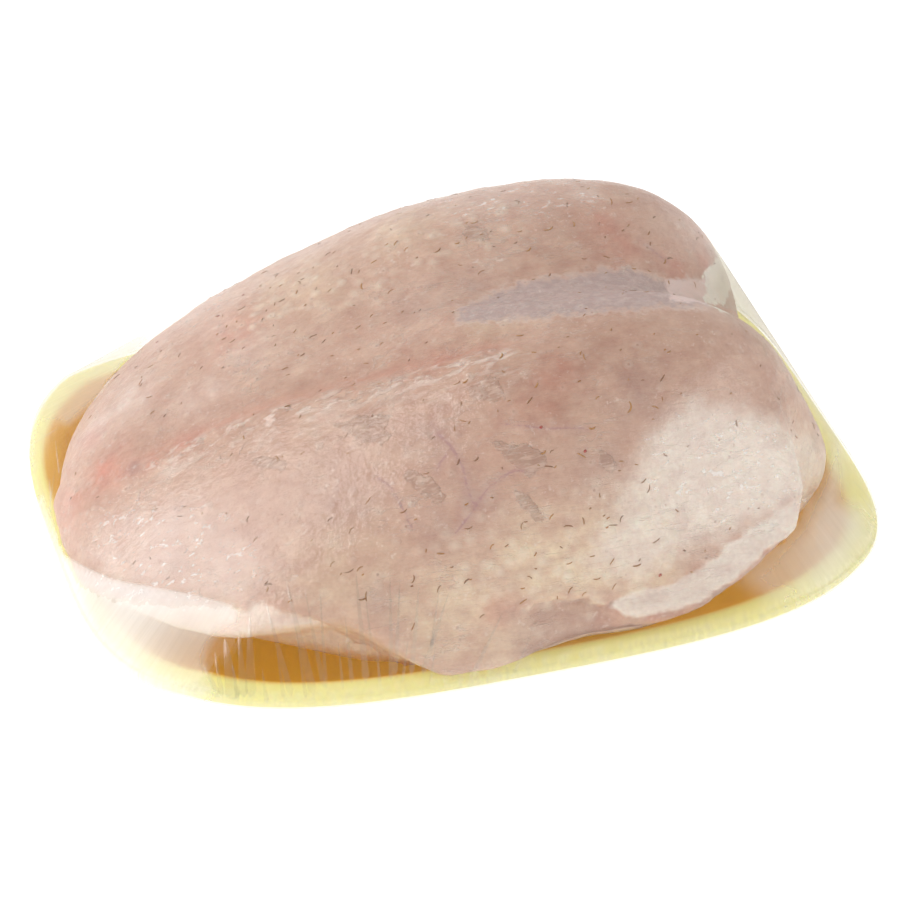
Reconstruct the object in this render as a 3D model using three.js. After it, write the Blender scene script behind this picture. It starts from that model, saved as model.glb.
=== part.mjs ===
// A whole raw chicken breast, bone in and skin on, packed on a shallow foam tray under clear
// stretch film. Millimetres, +Z up. +X points at the neck end, -Y at the side with the
// open tray corner, and the origin is on the table under the middle of the pack.
import * as THREE from 'three';
import { ConvexHull } from 'three/addons/math/ConvexHull.js';
import { mergeVertices } from 'three/addons/utils/BufferGeometryUtils.js';

// ---- The tray: a rounded rectangle with bulging sides
const TRAY_LENGTH = 233.4;
const TRAY_WIDTH = 184;
const TRAY_SQUARENESS = 3.75; // 2 is an ellipse, higher is squarer
const TRAY_HEIGHT = 18.2; // table to the top of the lip
const CORNER_LIFT = 3; // how much the tight film bends the lip up at the near corners
const FAR_CORNER_LIFT = 5; // and at the far ones
const FOAM = 3.7; // wall thickness
const LIP_WIDTH = 8;
const LIP_EDGE = 3.2; // height of the lip's outer edge
const BASE_INSET = 25; // the flat base starts this far inside the lip's edge
const SIDES = 64; // facets round the tray and the film

// ---- The film: a thin skin round everything, folded under and left open below the tray
const FILM = 0.45;
const FILM_GAP = 0.35; // air between the film and the tray
const FILM_CLEARANCE = 1.7; // air between the film and the breast, whose facets are flat
const BARE_PATCH = 68; // the folded edges stop this far inside the lip's edge
const FILM_EDGE = 0.4; // the free part starts this far inside the lip's edge
const FACES_UP = 0.01; // planes steeper than this are no part of the cover
// Rings of the film's free part, as shares of the way from the middle to the lip's edge,
// closer together where the breast's flank is steep.
const FILM_SHARES = [0.1, 0.2, 0.3, 0.4, 0.5, 0.59, 0.67, 0.74, 0.8, 0.855, 0.9, 0.935, 0.965, 0.985];

// ---- The breast: two lobes side by side along X, split by the keel valley
const TAIL_REACH = 113.2; // middle to the tail tip
const NECK_REACH = 111.9;
const NEAR_REACH = 84.1;
const FAR_REACH = 96.2;
const FAR_PRESSED = 88.5; // the film presses the far flank flat at this distance
const BELT_HEIGHT = 19.8; // height of the widest line half way along
const BELT_RISE_TAIL = 1.7; // how much that line climbs to the tail and to the neck
const BELT_RISE_NECK = 7.1;
const CROWN = 66.4; // height of the lobes above the belt half way along
const CROWN_RISE = 0.217; // share by which the crown grows towards the neck
const BELLY_DROP = 30.2; // depth of the underside below the belt
const BELLY_DROP_TAIL = 5.7; // it lifts off the tray towards the tail
const PLAN_NEAR_TAIL = 1.94; // roundness of the outline seen from above
const PLAN_FAR_TAIL = 2.27;
const PLAN_NECK = 1.89;
const SLOPE_TAIL = 1; // fullness of the back's slope to the tail and to the neck
const SLOPE_NECK = 3.78;
const SECTION_WIDTH = 2.58; // squareness of the cross-section, across and up
const SECTION_HEIGHT = 1.66;
const VALLEY_DEPTH = 9.9; // keel valley half way along
const VALLEY_RISE = 19.1; // it is deeper by this much at the neck
const VALLEY_WIDTH = 26.6;
const CLEFT_DEPTH = 18.9; // the notch between the lobes at the neck end
const CLEFT_WIDTH = 28.3;
const BREAST_GAP = 1.5; // air between the breast's flat facets and the tray
const BREAST_DETAIL = 17; // each face of a 20-sided ball is split this many times
const BALL_STRETCH = [1.3, 1, 0.8]; // the ball is stretched like this before it takes the form
const FURTHEST = 150; // nothing of the breast is further from its middle

// ---- The near lobe's shoulder, a swelling low at the neck end
const SHOULDER = { size: 8.7, y: -29.6, z: 25.4, spreadY: 22, spreadZ: 18 };

// ---- The skin flap that drapes over the near lip
const FLAP = { size: 6.5, x: -12, z: 23, spreadX: 30, spreadZ: 9 };

// ---- A small pad at the tail tip, which rests on the lip
const TAIL_PAD = { size: 1.3, y: -8, z: 28, spreadY: 30, spreadZ: 6 };

// ---- The skin's cut edge on the near side: below it the bare flesh is set back
const FLESH_STEP = 2.2;
const EDGE_SOFTNESS = 2.5;
// Its height along the breast, as [x, height]: it dips to the lip at the flap and climbs
// again towards the neck.
const SKIN_EDGE = [[-66, 35], [-34, 17], [-10, 17], [4, 30], [34, 32], [60, 37], [90, 42]];

// ---- Where the tight film leaves the meat on the near side. Above this line the meat fills
// the film, and below it the meat falls back. Rows of [compass angle, height, fall-back].
const LEAVE_LINE = [
  [-180, 26, 5],
  [-169, 27, 6],
  [-162, 29, 8],
  [-153, 31, 12],
  [-140, 35, 16],
  [-125, 44, 18],
  [-103, 37, 16],
  [-90, 29, 15],
  [-75, 24, 12],
  [-54, 30, 9],
  [-42, 36, 9],
  [-36, 46, 14],
  [-31, 62, 20],
  [-26, 90, 20],
];
const FILL_NEAR = -30; // the meat fills the film fully on this side of y
const FILL_FAR = 20; // and not at all beyond this one
const TAIL_END = 85; // past this distance the filled part turns round the tail

const SEARCH_STEPS = 30;
const middle = new THREE.Vector3(0, 0, 32); // the breast's surface is measured from here
const halfLength = TRAY_LENGTH / 2;
const halfWidth = TRAY_WIDTH / 2;

// Goes gently from 0 to 1 as the value goes from one number to the other, up or down.
function smooth(from, to, value) {
  const share = THREE.MathUtils.clamp((value - from) / (to - from), 0, 1);
  return share * share * (3 - 2 * share);
}

// Reads one column of a table at a place: straight lines between the rows.
function readTable(rows, place, column) {
  const next = rows.findIndex((row) => row[0] > place);
  if (next < 1) {
    return rows[next === 0 ? 0 : rows.length - 1][column];
  }
  const before = rows[next - 1];
  const after = rows[next];
  const share = (place - before[0]) / (after[0] - before[0]);
  return THREE.MathUtils.lerp(before[column], after[column], share);
}

// Distance from the middle to a rounded rectangle, set in from the lip's edge.
function outline(angle, inset) {
  const short = Math.max(halfWidth - inset, 0);
  const long = short + (halfLength - halfWidth) * Math.min(1, short / (halfWidth - BARE_PATCH));
  if (short === 0) {
    return 0;
  }
  const across = Math.abs(Math.cos(angle) / long) ** TRAY_SQUARENESS;
  const along = Math.abs(Math.sin(angle) / short) ** TRAY_SQUARENESS;
  return (across + along) ** (-1 / TRAY_SQUARENESS);
}

// The inset of the rounded rectangle that passes through a point.
function insetAt(x, y) {
  const distance = Math.hypot(x, y);
  const angle = Math.atan2(y, x);
  let low = -halfWidth;
  let high = halfWidth;
  for (let step = 0; step < SEARCH_STEPS; step += 1) {
    const between = (low + high) / 2;
    if (outline(angle, between) > distance) {
      low = between;
    } else {
      high = between;
    }
  }
  return low;
}

// How much the lip rises in this direction, fading to nothing at the base.
function cornerLift(angle, inset) {
  const long = halfLength * Math.abs(Math.sin(angle));
  const short = halfWidth * Math.abs(Math.cos(angle));
  const corner = (2 * Math.min(long, short)) / (long + short);
  const lift = THREE.MathUtils.lerp(CORNER_LIFT, FAR_CORNER_LIFT, smooth(-0.3, 0.3, Math.sin(angle)));
  return lift * corner ** 3 * smooth(BASE_INSET, LIP_WIDTH, inset);
}

// The section of the tray as [inset, height] from the middle of the base, round the lip's
// outer edge, and back to the middle of the floor.
const baseHeight = FILM + FILM_GAP;
const lipTop = TRAY_HEIGHT;
const lipUnder = lipTop - LIP_EDGE;
const floorHeight = baseHeight + FOAM;
const TRAY_SECTION = [
  [halfWidth, baseHeight],
  [BASE_INSET + 8, baseHeight],
  [BASE_INSET, baseHeight],
  [BASE_INSET - 3.5, baseHeight + 1.6],
  [LIP_WIDTH + FOAM, lipUnder - 4.2],
  [LIP_WIDTH + 1.2, lipUnder - 1],
  [LIP_EDGE, lipUnder],
  [0.6, lipUnder + 0.3],
  [0, lipUnder + 1.1],
  [0, lipTop - 1],
  [0.8, lipTop - 0.2],
  [LIP_WIDTH / 2, lipTop],
  [LIP_WIDTH, lipTop - 0.6],
  [LIP_WIDTH + 2.4, lipTop - 2.6],
  [BASE_INSET - 6, floorHeight + 4.2],
  [BASE_INSET + 1, floorHeight + 0.8],
  [BASE_INSET + 7, floorHeight],
  [halfWidth, floorHeight],
];
const lipStart = 11; // the section's part from here on is the tray's upper surface

// The film's inner face under and round the tray, as [inset, height] from the bare patch to
// the lip's outer edge. Its first rows lie flat under the base.
const FILM_SECTION = [
  [BARE_PATCH, FILM],
  [BASE_INSET + 8, FILM],
  [BASE_INSET - 1.6, FILM],
  [LIP_EDGE, lipUnder - 1.9],
  [-FILM_GAP, lipUnder + 0.6],
  [-FILM_GAP, lipTop - 0.8],
];
const FLAT_ROWS = 3;

// Height of the tray's upper surface, the lip and the inside, raised by an air gap.
function trayTop(x, y, gap) {
  const inset = insetAt(x, y);
  const upper = TRAY_SECTION.slice(lipStart);
  if (inset < -gap) {
    return -Infinity;
  }
  const reach = Math.max(inset - gap, 0);
  let index = 1;
  while (index < upper.length - 1 && upper[index][0] < reach) {
    index += 1;
  }
  const [startInset, startHeight] = upper[index - 1];
  const [endInset, endHeight] = upper[index];
  const share = Math.min(Math.max((reach - startInset) / (endInset - startInset), 0), 1);
  const height = startHeight + (endHeight - startHeight) * share;
  return height + gap + cornerLift(Math.atan2(y, x), reach);
}

// Joins vertices that meet and drops the triangles that shrank to nothing, as at a pole.
function closeSkin(geometry) {
  geometry.deleteAttribute('normal');
  geometry.deleteAttribute('uv');
  const merged = mergeVertices(geometry, 1e-3);
  const corners = Array.from(merged.index.array);
  const kept = [];
  for (let at = 0; at < corners.length; at += 3) {
    const [a, b, c] = corners.slice(at, at + 3);
    if (a !== b && b !== c && a !== c) {
      kept.push(a, b, c);
    }
  }
  merged.setIndex(kept);
  merged.computeVertexNormals();
  return merged;
}

function trayGeometry() {
  const profile = TRAY_SECTION.map(([inset, height]) => new THREE.Vector2(halfWidth - inset, height));
  const turned = new THREE.LatheGeometry(profile, SIDES);
  turned.rotateX(Math.PI / 2);
  const place = turned.attributes.position;
  for (let at = 0; at < place.count; at += 1) {
    const radius = Math.hypot(place.getX(at), place.getY(at));
    const angle = Math.atan2(place.getY(at), place.getX(at));
    const inset = halfWidth - radius;
    const distance = radius < 1e-6 ? 0 : outline(angle, inset);
    const height = place.getZ(at) + cornerLift(angle, inset);
    place.setXYZ(at, distance * Math.cos(angle), distance * Math.sin(angle), height);
  }
  return closeSkin(turned);
}

// A soft hump that is 1 at its middle.
function hump(value, middle, spread) {
  return Math.exp(-(((value - middle) / spread) ** 2));
}

// How far the bare flesh below the skin's cut edge is set back.
function setBack(x, z) {
  return FLESH_STEP * smooth(EDGE_SOFTNESS, -EDGE_SOFTNESS, z - readTable(SKIN_EDGE, x, 1));
}

// A swelling that is highest at one height and one place across.
function swelling({ size, y: sideways, z: height, spreadY, spreadZ }, y, z) {
  return size * hump(y, sideways, spreadY) * hump(z, height, spreadZ);
}

// How far the breast reaches along X at this side and height.
function lengthReach(x, y, z) {
  if (x < 0) {
    return TAIL_REACH + swelling(TAIL_PAD, y, z);
  }
  return NECK_REACH - CLEFT_DEPTH * hump(y, 0, CLEFT_WIDTH) + swelling(SHOULDER, y, z);
}

// How far it reaches along Y: the near side has the flap and the skin's edge.
function widthReach(x, y, z, share) {
  const near = smooth(10, -30, y);
  const tailRoundness = THREE.MathUtils.lerp(PLAN_FAR_TAIL, PLAN_NEAR_TAIL, near);
  const plan = Math.sqrt(1 - share ** (x < 0 ? tailRoundness : PLAN_NECK));
  if (y > 0) {
    return FAR_REACH * plan;
  }
  const flap = FLAP.size * hump(x, FLAP.x, FLAP.spreadX) * hump(z, FLAP.z, FLAP.spreadZ);
  return (NEAR_REACH + flap - setBack(x, z)) * plan;
}

// Below zero inside the breast, above zero outside.
function breastField({ x, y, z }) {
  const length = lengthReach(x, y, z);
  const share = Math.abs(x) / length;
  if (share >= 1 || y > FAR_PRESSED) {
    return 1;
  }
  const along = x / length;
  const belt = BELT_HEIGHT + share * (x < 0 ? BELT_RISE_TAIL : BELT_RISE_NECK);
  const slope = Math.sqrt(1 - share ** (x < 0 ? SLOPE_TAIL : SLOPE_NECK));
  const valley = Math.max(VALLEY_DEPTH + VALLEY_RISE * along, 0) * hump(y, 0, VALLEY_WIDTH);
  const crown = (CROWN * (1 + CROWN_RISE * along) - valley) * slope;
  const drop = THREE.MathUtils.lerp(BELLY_DROP, BELLY_DROP_TAIL, smooth(-0.2, -0.8, along));
  const across = Math.abs(y / widthReach(x, y, z, share)) ** SECTION_WIDTH;
  return across + Math.abs((z - belt) / (z > belt ? crown : drop)) ** SECTION_HEIGHT - 1;
}

// The breast fills its own form down to the tray.
function insideBreast(point) {
  if (breastField(point) > 0) {
    return false;
  }
  return point.z > trayTop(point.x, point.y, BREAST_GAP);
}

function breastGeometry() {
  const ball = new THREE.IcosahedronGeometry(1, BREAST_DETAIL);
  const stretch = new THREE.Vector3(...BALL_STRETCH);
  const place = ball.attributes.position;
  for (let at = 0; at < place.count; at += 1) {
    const way = new THREE.Vector3().fromBufferAttribute(place, at).multiply(stretch);
    let low = 0;
    let high = FURTHEST;
    for (let step = 0; step < SEARCH_STEPS; step += 1) {
      const far = (low + high) / 2;
      const point = way.clone().multiplyScalar(far).add(middle);
      if (insideBreast(point)) {
        low = far;
      } else {
        high = far;
      }
    }
    const surface = way.multiplyScalar(low).add(middle);
    place.setXYZ(at, surface.x, surface.y, surface.z);
  }
  return closeSkin(ball);
}

// How much of the way to the film a place is filled.
function fillShare({ x, y, z }) {
  const heading = THREE.MathUtils.radToDeg(Math.atan2(y, x));
  const leave = readTable(LEAVE_LINE, heading, 1);
  const fall = readTable(LEAVE_LINE, heading, 2);
  const side = y - 2 * Math.max(0, -x - TAIL_END);
  return smooth(leave - fall, leave, z) * smooth(FILL_FAR, FILL_NEAR, side);
}

// Fills the near side out to the film, above the line where the film leaves the meat.
function fillWrap(breast, planes) {
  const place = breast.attributes.position;
  for (let at = 0; at < place.count; at += 1) {
    const spot = new THREE.Vector3().fromBufferAttribute(place, at);
    const share = fillShare(spot);
    if (share > 0) {
      const way = spot.clone().sub(middle);
      const room = FILM_CLEARANCE + setBack(spot.x, spot.z);
      let reach = Infinity;
      planes.forEach(({ normal, constant }) => {
        const facing = normal.dot(way);
        if (facing > 0) {
          reach = Math.min(reach, (constant - room - normal.dot(middle)) / facing);
        }
      });
      spot.copy(middle).addScaledVector(way, THREE.MathUtils.lerp(1, Math.max(reach, 1), share));
      place.setXYZ(at, spot.x, spot.y, spot.z);
    }
  }
  breast.computeVertexNormals();
}

// The upper planes of the tightest cover over the breast and the lip's edge.
function tautPlanes(breast, rim) {
  const place = breast.attributes.position;
  const outwards = breast.attributes.normal;
  const points = rim.slice();
  for (let at = 0; at < place.count; at += 1) {
    const away = new THREE.Vector3().fromBufferAttribute(outwards, at);
    const spot = new THREE.Vector3().fromBufferAttribute(place, at);
    points.push(spot.addScaledVector(away, FILM_CLEARANCE));
  }
  const { faces } = new ConvexHull().setFromPoints(points);
  return faces.filter((face) => face.normal.z > FACES_UP);
}

// Height of that cover: the lowest of its planes.
function tautHeight(planes, x, y) {
  const heights = planes.map(({ normal, constant }) => (constant - normal.x * x - normal.y * y) / normal.z);
  return Math.min(...heights);
}

// A ring of points round the pack, from one inset and one height.
function ringAt(inset, height) {
  const ring = [];
  for (let side = 0; side < SIDES; side += 1) {
    const angle = (side / SIDES) * 2 * Math.PI;
    const distance = outline(angle, inset);
    const z = height + cornerLift(angle, inset);
    ring.push(new THREE.Vector3(distance * Math.cos(angle), distance * Math.sin(angle), z));
  }
  return ring;
}

// The film's inner face as rings, from the bare patch under the tray to the top.
function filmRings(planes, rim) {
  const rings = FILM_SECTION.map(([inset, height]) => ringAt(inset, height));
  rings.push(rim);
  [...FILM_SHARES].reverse().concat(0).forEach((share) => {
    rings.push(rim.map((edge) => {
      const x = edge.x * share;
      const y = edge.y * share;
      return new THREE.Vector3(x, y, tautHeight(planes, x, y));
    }));
  });
  return rings;
}

// The same rings moved outwards by the film's thickness: the ones under the tray go straight
// down and the last one, at the top, straight up.
function thicken(rings) {
  return rings.map((ring, row) => ring.map((spot, side) => {
    const before = rings[Math.max(row - 1, 0)][side];
    const after = rings[Math.min(row + 1, rings.length - 1)][side];
    const round = ring[(side + 1) % SIDES].clone().sub(ring[(side + SIDES - 1) % SIDES]);
    const outwards = round.cross(after.clone().sub(before));
    if (row === rings.length - 1) {
      outwards.set(0, 0, 1);
    }
    if (row < FLAT_ROWS) {
      outwards.set(0, 0, -1);
    }
    return spot.clone().addScaledVector(outwards.normalize(), FILM);
  }));
}

// A thin closed skin: its outer and inner faces, joined round the bare patch.
function filmGeometry(planes, rim) {
  const inner = filmRings(planes, rim);
  const outer = thicken(inner);
  const rows = inner.length;
  const spots = [...outer, ...inner].flat();
  const triangles = [];
  const corner = (row, side) => row * SIDES + (side % SIDES);
  const addQuad = (a, b, c, d) => triangles.push(a, b, c, a, c, d);
  for (let side = 0; side < SIDES; side += 1) {
    addQuad(corner(rows, side), corner(rows, side + 1), corner(0, side + 1), corner(0, side));
    for (let row = 0; row < rows - 1; row += 1) {
      const square = [[row, side], [row, side + 1], [row + 1, side + 1], [row + 1, side]];
      const [a, b, c, d] = square.map(([up, round]) => corner(up, round));
      const below = rows * SIDES;
      addQuad(a, b, c, d);
      addQuad(a + below, d + below, c + below, b + below);
    }
  }
  const sheet = new THREE.BufferGeometry().setFromPoints(spots);
  sheet.setIndex(triangles);
  return closeSkin(sheet);
}

function sheen(colour, roughness) {
  return new THREE.MeshStandardMaterial({ color: colour, roughness, metalness: 0 });
}

const foam = sheen('#f0e3a2', 0.75);
const skin = sheen('#dcb9a8', 0.4);
const clearWrap = sheen('#e9e9e4', 0.12);
clearWrap.transparent = true;
clearWrap.opacity = 0.25;

const rim = ringAt(FILM_EDGE, lipTop + FILM_GAP);
const meat = breastGeometry();
fillWrap(meat, tautPlanes(meat, rim));

const tray = new THREE.Mesh(trayGeometry(), foam);
tray.name = 'tray';
const breast = new THREE.Mesh(meat, skin);
breast.name = 'breast';
const film = new THREE.Mesh(filmGeometry(tautPlanes(meat, rim), rim), clearWrap);
film.name = 'film';

const pack = new THREE.Group();
pack.add(tray, breast, film);

export default pack;
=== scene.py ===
# %% [markdown]
# # A whole chicken breast in its foam tray
# The real thing is a raw double breast with its skin on, laid in a shallow yellow foam tray and
# wrapped tight in clear stretch film. Three solids hold its sizes: tray, breast and film. Each
# gets a finer piece here, made in the same place, because foam, wet skin and film all live from
# detail that a coarse solid can't carry.

# %% Load the frame
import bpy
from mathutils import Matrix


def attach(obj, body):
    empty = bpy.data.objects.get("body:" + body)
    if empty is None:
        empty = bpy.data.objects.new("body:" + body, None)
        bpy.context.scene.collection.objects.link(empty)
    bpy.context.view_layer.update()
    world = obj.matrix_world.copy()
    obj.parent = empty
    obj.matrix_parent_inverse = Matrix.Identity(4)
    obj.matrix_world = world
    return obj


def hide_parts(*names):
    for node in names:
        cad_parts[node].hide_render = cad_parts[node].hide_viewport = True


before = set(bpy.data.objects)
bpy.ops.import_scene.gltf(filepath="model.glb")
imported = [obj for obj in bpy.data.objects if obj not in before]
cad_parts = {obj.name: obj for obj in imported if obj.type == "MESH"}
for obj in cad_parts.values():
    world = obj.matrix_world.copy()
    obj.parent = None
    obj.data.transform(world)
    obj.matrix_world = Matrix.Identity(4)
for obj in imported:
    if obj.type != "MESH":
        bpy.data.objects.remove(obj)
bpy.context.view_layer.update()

import math
import random

import bmesh
import bpy
import numpy as np
from mathutils import Matrix, Vector, noise
from mathutils.bvhtree import BVHTree

MM = 0.001
scene = bpy.context.scene

# %% [markdown]
# ## Camera
# The picture was taken with a long lens from the front left, a bit more than a third of the way
# up. A long lens keeps the tray's sides almost parallel. The small shift puts the pack where it
# lies in the frame without turning the camera. The same numbers also run backwards: a place in
# the picture gives a line of sight, and where that line meets the meat is where a detail belongs.

# %% Camera
PICTURE = 900  # pixels across
FOCAL = 3740  # focal length in pixels
MIDDLE_AT = (447.9, 528.1)  # where the middle of the tray's underside shows
AZIMUTH = math.radians(-16.9)
ELEVATION = math.radians(36.4)
DISTANCE = 1.1

back = Vector((math.sin(AZIMUTH) * math.cos(ELEVATION), -math.cos(AZIMUTH) * math.cos(ELEVATION), math.sin(ELEVATION)))
right = Vector((math.cos(AZIMUTH), math.sin(AZIMUTH), 0))
up = back.cross(right)
eye = back * DISTANCE

camera = bpy.data.objects.new("camera", bpy.data.cameras.new("camera"))
scene.collection.objects.link(camera)
scene.camera = camera
camera.location = eye
camera.rotation_mode = "QUATERNION"
camera.rotation_quaternion = (-back).to_track_quat("-Z", "Y")
camera.data.sensor_width = 36
camera.data.lens = FOCAL / PICTURE * camera.data.sensor_width
camera.data.shift_x = (PICTURE / 2 - MIDDLE_AT[0]) / PICTURE
camera.data.shift_y = (MIDDLE_AT[1] - PICTURE / 2) / PICTURE
camera.data.clip_end = 20


def sight(u, v):
    """The direction from the camera through a place in the picture."""
    across = (u - MIDDLE_AT[0]) / FOCAL
    down = (v - MIDDLE_AT[1]) / FOCAL
    return (right * across - up * down - back).normalized()


print("lens", round(camera.data.lens, 1), "mm, shift", round(camera.data.shift_x, 4), round(camera.data.shift_y, 4))

# %% [markdown]
# ## Light and floor
# Food packs are shot on a white table in a white tent. White all round gives the film its milky
# sides, and a duller ceiling lets the top of the pack show its true colour. A sky that fades
# from bright at the horizon to grey overhead does both. Large soft lamps add shape.

# %% Light and floor
HORIZON = 1.04
OVERHEAD = 0.4
TABLE_GLOW = 0.8  # the table is lit from below a little, as for a cut-out
FLOOR_SIZE = 8

world = bpy.data.worlds.new("white_tent")
scene.world = world
world.use_nodes = True
sky = world.node_tree.nodes
sky_links = world.node_tree.links
place = sky.new("ShaderNodeTexCoord")
parts = sky.new("ShaderNodeSeparateXYZ")
fade = sky.new("ShaderNodeValToRGB")
sky_links.new(place.outputs["Generated"], parts.inputs[0])
sky_links.new(parts.outputs["Z"], fade.inputs[0])
sky_links.new(fade.outputs[0], sky["Background"].inputs["Color"])
fade.color_ramp.elements[0].position = 0.1
fade.color_ramp.elements[0].color = (HORIZON, HORIZON, HORIZON, 1)
fade.color_ramp.elements[1].position = 0.75
fade.color_ramp.elements[1].color = (OVERHEAD, OVERHEAD, OVERHEAD, 1)


def softbox(name, azimuth, elevation, distance, width, height, power):
    """A square lamp that looks at the pack from a compass direction and a height."""
    a, e = math.radians(azimuth), math.radians(elevation)
    way = Vector((math.sin(a) * math.cos(e), -math.cos(a) * math.cos(e), math.sin(e)))
    lamp = bpy.data.objects.new(name, bpy.data.lights.new(name, "AREA"))
    scene.collection.objects.link(lamp)
    lamp.location = way * distance
    lamp.rotation_mode = "QUATERNION"
    lamp.rotation_quaternion = way.to_track_quat("Z", "Y")
    lamp.data.shape = "RECTANGLE"
    lamp.data.size, lamp.data.size_y = width, height
    lamp.data.energy = power


softbox("left_softbox", -104, 42, 1.6, 1.15, 1.5, 15)
softbox("right_softbox", 57, 24, 1.7, 1.1, 0.7, 3)

floor_mesh = bmesh.new()
bmesh.ops.create_grid(floor_mesh, x_segments=1, y_segments=1, size=FLOOR_SIZE / 2)
floor = bpy.data.objects.new("floor", bpy.data.meshes.new("floor"))
floor_mesh.to_mesh(floor.data)
floor_mesh.free()
scene.collection.objects.link(floor)
white_table = bpy.data.materials.new("white_table")
white_table.use_nodes = True
table_shader = white_table.node_tree.nodes["Principled BSDF"]
for key, value in (
    ("Base Color", (0.6, 0.6, 0.6, 1)), ("Roughness", 0.9), ("Specular IOR Level", 0.1),
    ("Emission Color", (1, 1, 1, 1)), ("Emission Strength", TABLE_GLOW),
):
    table_shader.inputs[key].default_value = value
floor.data.materials.append(white_table)
scene.view_settings.view_transform = "Standard"

# %% [markdown]
# ## Helpers for shapes and finishes
# Every later cell moves thousands of vertices by rule, so the rules work on whole arrays of
# places. Finishes are node trees, and a short helper that makes a node, sets it and joins it
# keeps them readable.

# %% Helpers
def ease(start, end, value):
    """Goes gently from 0 to 1 as the value goes from start to end."""
    share = np.clip((value - start) / (end - start), 0, 1)
    return share * share * (3 - 2 * share)


def bell(value, middle, spread):
    """1 at the middle, fading over the spread."""
    return np.exp(-(((value - middle) / spread) ** 2))


def places(mesh):
    """Every vertex's place as rows of x, y, z."""
    flat = np.empty(len(mesh.vertices) * 3)
    mesh.vertices.foreach_get("co", flat)
    return flat.reshape(-1, 3)


def outwards(mesh):
    """Every vertex's normal as rows."""
    flat = np.empty(len(mesh.vertices) * 3)
    mesh.vertex_normals.foreach_get("vector", flat)
    return flat.reshape(-1, 3)


def move(mesh, spots):
    """Puts every vertex at its row's place."""
    mesh.vertices.foreach_set("co", spots.ravel())
    mesh.update()


def keep(mesh, name, kind, field, rows):
    """Keeps a row of numbers for each vertex."""
    layer = mesh.attributes.new(name, kind, "POINT")
    layer.data.foreach_set(field, np.asarray(rows, dtype=np.float32).ravel())


def paint(mesh, **layers):
    """Keeps numbers for each vertex under some names, for a finish to read."""
    for name, values in layers.items():
        keep(mesh, name, "FLOAT", "value", values)


def grain(spots, size, octaves=3, stretch=(1, 1, 1)):
    """Soft noise from -1 to 1 whose lumps are about size metres wide."""
    scaled = spots / (size * np.array(stretch))
    return np.array([noise.fractal(Vector(spot), 1, 2, octaves) for spot in scaled])


def near_line(spots, line):
    """Each place's distance from a line, its side (+ left, seen from outside) and its share along."""
    nearest = np.full(len(spots), np.inf)
    side = np.zeros(len(spots))
    share = np.zeros(len(spots))
    outward = spots - CORE
    for index, (start, end) in enumerate(zip(line, line[1:])):
        step = end - start
        along = np.clip(((spots - start) @ step) / (step @ step), 0, 1)
        gap = spots - start - along[:, None] * step
        distance = np.linalg.norm(gap, axis=1)
        closer = distance < nearest
        turn = np.einsum("ij,ij->i", np.cross(step, gap), outward)
        nearest[closer] = distance[closer]
        side[closer] = np.sign(turn[closer])
        share[closer] = (index + along[closer]) / (len(line) - 1)
    return nearest, side, share


CORE = np.array([0, 0, 0.032])  # a point deep in the meat, from which its whole surface can be seen


def in_picture(spots):
    """Where each place shows in the picture, as columns u and v."""
    depth = DISTANCE - spots @ np.array(back)
    u = MIDDLE_AT[0] + FOCAL * (spots @ np.array(right)) / depth
    v = MIDDLE_AT[1] - FOCAL * (spots @ np.array(up)) / depth
    return u, v


def inside_outline(spots, outline):
    """How many pixels each place lies inside a closed outline in the picture, negative outside."""
    u, v = in_picture(spots)
    nearest = np.full(len(spots), np.inf)
    crossings = np.zeros(len(spots), dtype=int)
    for (u1, v1), (u2, v2) in zip(outline, outline[1:] + outline[:1]):
        run, rise = u2 - u1, v2 - v1
        along = np.clip(((u - u1) * run + (v - v1) * rise) / (run * run + rise * rise), 0, 1)
        nearest = np.minimum(nearest, np.hypot(u - u1 - along * run, v - v1 - along * rise))
        spans = (v1 > v) != (v2 > v)
        crossings += spans & (u < u1 + (v - v1) * run / (rise if rise else 1e-9))
    return np.where(crossings % 2 == 1, nearest, -nearest)


def piece_from(bm, name):
    """Makes an object of a bmesh, shaded smooth, at the origin."""
    mesh = bpy.data.meshes.new(name)
    bm.to_mesh(mesh)
    bm.free()
    mesh.shade_smooth()
    piece = bpy.data.objects.new(name, mesh)
    scene.collection.objects.link(piece)
    return piece


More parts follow.
